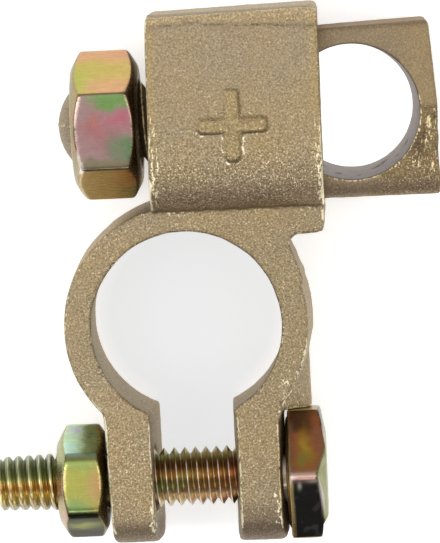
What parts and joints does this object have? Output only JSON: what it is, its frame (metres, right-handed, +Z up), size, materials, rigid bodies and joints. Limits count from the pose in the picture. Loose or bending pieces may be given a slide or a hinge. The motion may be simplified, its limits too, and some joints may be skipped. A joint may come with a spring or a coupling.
{
  "type": "battery terminal clamp",
  "caption": "Cast brass split ring that clamps on a tapered battery post, with a screw-drawn sliding block that grips a cable against its sleeve.",
  "frame": {"origin": "on the battery post's axis, in the flat underside of the ring", "axes": "+Z up the battery post, from the wide end of the taper to the narrow end; +X along the stud and the bolt, towards the cable hole and the bolt head; +Y from the post to the sleeve"},
  "size_m": [0.0435, 0.0512, 0.0163],
  "materials": {
    "cast_brass": "sand cast and blasted, dull olive gold with a bright grain",
    "cast_brass_slider": "sand cast and blasted, smooth grey wall in the cable hole",
    "plated_nut_large": "zinc plated steel with a yellow iridescent passivation",
    "plated_bolt": "zinc plated steel with a yellow iridescent passivation",
    "plated_nut_small": "zinc plated steel with a yellow iridescent passivation"
  },
  "bodies": {
    "clamp": {"clamp_body": "cast_brass"},
    "slider": {"cable_slider": "cast_brass_slider"},
    "stud_nut": {"cable_nut": "plated_nut_large"},
    "bolt": {"pinch_bolt": "plated_bolt"},
    "bolt_nut": {"pinch_nut": "plated_nut_small"}
  },
  "joints": [
    {"name": "slider_slide", "type": "slide", "parent": "clamp", "child": "slider", "axis": [1, 0, 0], "range_m": [-0.0068, 0.001]},
    {"name": "cable_nut_turn", "type": "hinge", "parent": "clamp", "child": "stud_nut", "pos_m": [-0.0067, 0.01905, 0.008], "axis": [1, 0, 0], "range_deg": [-289, 1960]},
    {"name": "pinch_bolt_slide", "type": "slide", "parent": "clamp", "child": "bolt", "axis": [1, 0, 0], "range_m": [0, 0.002]},
    {"name": "pinch_nut_turn", "type": "hinge", "parent": "clamp", "child": "bolt_nut", "pos_m": [-0.01087, -0.01493, 0.0075], "axis": [1, 0, 0], "range_deg": [-721, 1]}
  ],
  "couplings": [
    {"joint": "cable_nut_turn", "follows": "slider_slide", "rad_per_m": -5026.5},
    {"joint": "pinch_nut_turn", "follows": "pinch_bolt_slide", "rad_per_m": -6283.2}
  ]
}
